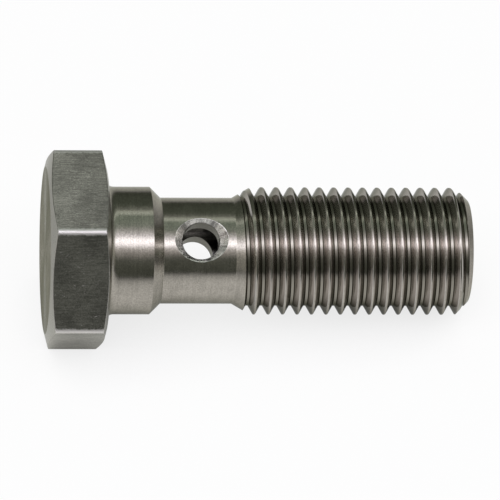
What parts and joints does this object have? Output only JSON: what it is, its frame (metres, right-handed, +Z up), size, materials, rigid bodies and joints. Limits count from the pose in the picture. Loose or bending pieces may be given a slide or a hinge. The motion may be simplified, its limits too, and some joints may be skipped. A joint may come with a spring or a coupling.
{
  "type": "banjo bolt",
  "caption": "Hexagon-head hollow bolt with a plain collar, a narrow cross-drilled waist and a fine external thread, for clamping a ring fitting and passing fluid through it.",
  "frame": {"origin": "on the table under the middle of the bolt as it lies at rest", "axes": "+X from the head towards the threaded tip, +Z up from the table; the bolt's own axis dips 4.53 degrees towards the tip, because it lies on a flat of the head and on the end of the thread"},
  "size_m": [0.0378, 0.0184, 0.0163],
  "materials": {
    "steel": "turned stainless steel with fine tool rings, brushed hexagon flats"
  },
  "bodies": {
    "root": {"banjo_bolt": "steel"}
  },
  "joints": []
}
